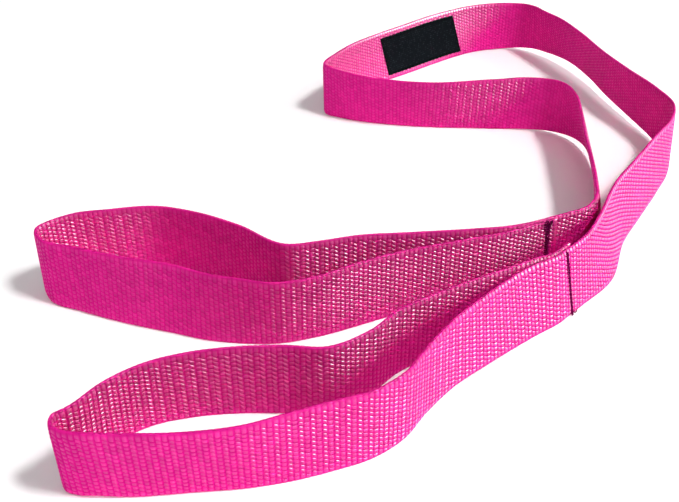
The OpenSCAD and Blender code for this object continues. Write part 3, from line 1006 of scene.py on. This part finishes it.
def label_surface(a, b):
    """Thickness of the label at a along it and b up it, how far its edges wave up, and its ribs."""
    s = label_settings()
    threads = thread_settings()
    from_end = np.minimum(a, s.length - a)
    from_side = np.minimum(b, s.height - b)
    border = np.minimum(from_end, from_side)
    hem = 1 - smoothstep((from_end - s.hem) / HEM_EASE)
    sewn = np.exp(-(((border - threads.label_inset) / PULL_REACH) ** 2))
    pull = wave(2 * np.pi * (a + b) / threads.label_stitch)
    ribs = wave(2 * np.pi * b / RIB_PITCH)
    top = s.thickness * (grown(PLIES, hem) - STITCH_PULL * sewn * grown(PULL_SPREAD, pull))
    top = top * grown(EDGE_THIN, smoothstep(border / EDGE_EASE)) + RIB_HEIGHT * ribs
    sway = EDGE_WAVE * np.sin(2 * np.pi * a / threads.label_stitch) * np.exp(-(from_side / PULL_REACH) ** 2)
    return top, sway * np.where(b < s.height / 2, 1, -1), ribs


def slab_faces(n, m):
    """Faces of a slab with n by m points on its front, as many on its back, and walls round its rim."""
    i, j = np.meshgrid(np.arange(n - 1), np.arange(m - 1), indexing="ij")
    quads = np.stack([i * m + j, i * m + j + 1, (i + 1) * m + j + 1, (i + 1) * m + j], -1).reshape(-1, 4)
    rim = [k * m for k in range(n)] + [(n - 1) * m + k for k in range(1, m)]
    rim += [k * m + m - 1 for k in range(n - 2, -1, -1)] + list(range(m - 2, 0, -1))
    back = n * m
    walls = [[p, q, q + back, p + back] for p, q in zip(rim, rim[1:] + rim[:1])]
    return quads.tolist() + (quads[:, ::-1] + back).tolist() + walls


class STRAP_OT_label(Operator):
    """Lay the bare woven label on the inner face of the run, with a hem at each end"""

    bl_idname = "strap.label"
    bl_label = "Label"

    def execute(self, context):
        s = label_settings()
        n = int(round(s.length / LABEL_STEP)) + 1
        m = int(round(s.height / LABEL_STEP)) + 1
        a = np.linspace(0, s.length, n)[:, None]
        b = np.linspace(0, s.height, m)[None, :]
        top, sway, ribs = label_surface(a, b)
        along = label_place(a, b)
        up = s.margin + b + sway
        base = WEB_T / 2 - LABEL_SINK
        points = [ROUTE.place(along, up, -out).reshape(-1, 3) for out in (base + top, base)]
        tone = np.random.RandomState(YARN_SEED).rand(n, m)
        relief = grown(RIB_RELIEF, ribs) + FLECK_RELIEF * (tone > DARK_SHARE)
        place = np.stack(np.broadcast_arrays(a, b, 0.0), -1).reshape(-1, 3)
        piece = new_piece("label_cloth", np.concatenate(points), slab_faces(n, m), label_material(), {
            "relief": np.concatenate([relief.ravel(), np.zeros(n * m)]),
            "yarn_tint": np.concatenate([tone.ravel(), tone.ravel()]),
            "yarn_place": np.concatenate([place, place])})
        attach(piece, "run")
        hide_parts("label")
        return {"FINISHED"}


def label_stitches(name, side, face):
    """One thread of the stitches round the label's border."""
    s = label_settings()
    threads = thread_settings()
    at, round_length = stitch_border(s, threads)
    count = int(round_length / threads.label_stitch)
    stitch = round_length / count
    t = np.linspace(0, 1, STITCH_POINTS)
    height = threads.diameter * (STITCH_TOP - STITCH_DIP * (2 * t - 1) ** 6)
    strands = []
    for k in range(count):
        spots = np.array([at((k + STITCH_START + STITCH_SHARE * v) * stitch) for v in t])
        along = label_place(spots[:, 0], spots[:, 1])
        strands.append(on_face(along, 0 * t, s.margin + spots[:, 1], side, face, height))
    piece = thread_piece(name, strands, threads.label_tint, "label_polyester")
    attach(piece, "run")
    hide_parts(name + "_thread")


class STRAP_OT_label_threads(Operator):
    """Sew the label down round its border, with a needle thread and a bobbin thread"""

    bl_idname = "strap.label_threads"
    bl_label = "Label threads"

    def execute(self, context):
        label_stitches("label_needle", -1, WEB_T / 2 + NEEDLE_LEVEL * label_settings().thickness)
        label_stitches("label_bobbin", 1, WEB_T / 2 - BOBBIN_SINK)
        return {"FINISHED"}


# ---------------------------------------------------------------- stage

# The key light stands high on the right, and the fill light in front and lower
KEY_PLACE = (0.55, -0.28, 1.10)
FILL_PLACE = (-0.15, -1.20, 0.80)
# The camera stands in front of the loops, a little to the left, and looks down at the strap
CAMERA_PLACE = (-0.0212, -0.3039, 0.1878)
CAMERA_TILT = math.radians(55.82)
LENS = 46.286
CAMERA_SHIFT = (0.0021, -0.0287)


def seen_directly(tree):
    """One where the viewer, a mirror or a glass looks, and none where light only falls."""
    path = add(tree, "ShaderNodeLightPath")
    mirrored = maths(tree, "MAXIMUM", path.outputs["Is Glossy Ray"], path.outputs["Is Transmission Ray"])
    return maths(tree, "MAXIMUM", path.outputs["Is Camera Ray"], mirrored)


def floor_material(settings):
    """Pale paper, which looks white all the way to the horizon."""
    material = bpy.data.materials.new("floor_paper")
    material.use_nodes = True
    tree = material.node_tree
    shader = tree.nodes["Principled BSDF"]
    shader.inputs["Base Color"].default_value = opaque(settings.floor_tint)
    shader.inputs["Roughness"].default_value = 0.9
    shader.inputs["Specular IOR Level"].default_value = 0.2
    place = add(tree, "ShaderNodeNewGeometry")
    reach = add(tree, "ShaderNodeVectorMath", {0: place.outputs["Position"]}, operation="LENGTH")
    far = eased(tree, reach.outputs["Value"], settings.paper_near, settings.paper_far)
    white = add(tree, "ShaderNodeEmission", {"Color": WHITE, "Strength": 1.0})
    share = maths(tree, "MULTIPLY", far, seen_directly(tree))
    both = add(tree, "ShaderNodeMixShader", {0: share, 1: shader.outputs[0], 2: white.outputs[0]})
    tree.links.new(both.outputs[0], tree.nodes["Material Output"].inputs["Surface"])
    return material


def studio_world(strength):
    """Even light from all round, in front of a white backdrop."""
    world = bpy.data.worlds.new("studio")
    world.use_nodes = True
    tree = world.node_tree
    sky = tree.nodes["Background"]
    sky.inputs["Color"].default_value = WHITE
    sky.inputs["Strength"].default_value = strength
    backdrop = add(tree, "ShaderNodeBackground", {"Color": WHITE, "Strength": 1.0})
    both = add(tree, "ShaderNodeMixShader", {0: seen_directly(tree), 1: sky.outputs[0],
                                             2: backdrop.outputs[0]})
    tree.links.new(both.outputs[0], tree.nodes["World Output"].inputs["Surface"])
    return world


def round_softbox(name, place, size, power):
    """A round softbox that is aimed at the middle of the strap."""
    lamp = bpy.data.lights.new(name, "AREA")
    lamp.shape = "DISK"
    lamp.size = size
    lamp.energy = power
    holder = bpy.data.objects.new(name, lamp)
    holder.location = place
    holder.rotation_euler = (-mathutils.Vector(place)).to_track_quat("-Z", "Y").to_euler()
    bpy.context.scene.collection.objects.link(holder)
    return holder


def gloss_light(settings):
    """A lamp at the right-hand end that shows only as gloss on the yarns."""
    lamp = bpy.data.lights.new("gloss", "SUN")
    lamp.energy = settings.gloss_power
    lamp.angle = settings.gloss_spread
    holder = bpy.data.objects.new("gloss", lamp)
    holder.rotation_euler = (0, math.pi / 2 - settings.gloss_rise, settings.gloss_turn)
    holder.visible_diffuse = False
    bpy.context.scene.collection.objects.link(holder)


def paper_floor(settings):
    """The square of paper that the strap lies on."""
    half = settings.floor_size / 2
    mesh = bpy.data.meshes.new("floor")
    mesh.from_pydata([(-half, -half, 0), (half, -half, 0), (half, half, 0), (-half, half, 0)], [],
                     [(0, 1, 2, 3)])
    mesh.materials.append(floor_material(settings))
    floor = bpy.data.objects.new("floor", mesh)
    bpy.context.scene.collection.objects.link(floor)
    return floor


def strap_camera():
    camera = bpy.data.cameras.new("camera")
    camera.lens = LENS
    camera.sensor_width = 36
    camera.shift_x, camera.shift_y = CAMERA_SHIFT
    camera.clip_start = 0.01
    eye = bpy.data.objects.new("camera", camera)
    eye.location = CAMERA_PLACE
    eye.rotation_euler = (CAMERA_TILT, 0, 0)
    bpy.context.scene.collection.objects.link(eye)
    return eye


class STRAP_OT_stage(Operator):
    """Set up the floor, the lights and the camera"""

    bl_idname = "strap.stage"
    bl_label = "Stage"

    def execute(self, context):
        s = context.scene.strap_stage
        paper_floor(s)
        context.scene.world = studio_world(s.sky)
        round_softbox("key", KEY_PLACE, s.key_size, s.key_power)
        fill = round_softbox("fill", FILL_PLACE, s.fill_size, s.fill_power)
        fill.visible_glossy = False
        gloss_light(s)
        context.scene.camera = strap_camera()
        context.scene.view_settings.view_transform = "Standard"
        return {"FINISHED"}


# ---------------------------------------------------------------- panel and main

OPERATORS = (STRAP_OT_stage, STRAP_OT_webbing, STRAP_OT_seams, STRAP_OT_label, STRAP_OT_label_threads)
SETTINGS = {
    "strap_webbing": StrapWebbingSettings,
    "strap_threads": StrapThreadSettings,
    "strap_label": StrapLabelSettings,
    "strap_stage": StrapStageSettings,
}


class STRAP_PT_panel(Panel):
    """Sizes and colours of the strap, and the steps that build it"""

    bl_idname = "STRAP_PT_panel"
    bl_label = "Stretching Strap"
    bl_space_type = "VIEW_3D"
    bl_region_type = "UI"
    bl_category = "Strap"

    def draw(self, context):
        for key, group in SETTINGS.items():
            box = self.layout.box()
            for name in group.__annotations__:
                box.prop(getattr(context.scene, key), name)
        for operator in OPERATORS:
            self.layout.operator(operator.bl_idname)


CLASSES = (*SETTINGS.values(), *OPERATORS, STRAP_PT_panel)


def register():
    for cls in CLASSES:
        bpy.utils.register_class(cls)
    for key, group in SETTINGS.items():
        setattr(bpy.types.Scene, key, PointerProperty(type=group))


def unregister():
    for key in SETTINGS:
        delattr(bpy.types.Scene, key)
    for cls in reversed(CLASSES):
        bpy.utils.unregister_class(cls)


def main():
    register()
    bpy.ops.strap.stage()
    bpy.ops.strap.webbing()
    bpy.ops.strap.seams()
    bpy.ops.strap.label()
    bpy.ops.strap.label_threads()


if __name__ == "__main__":
    main()
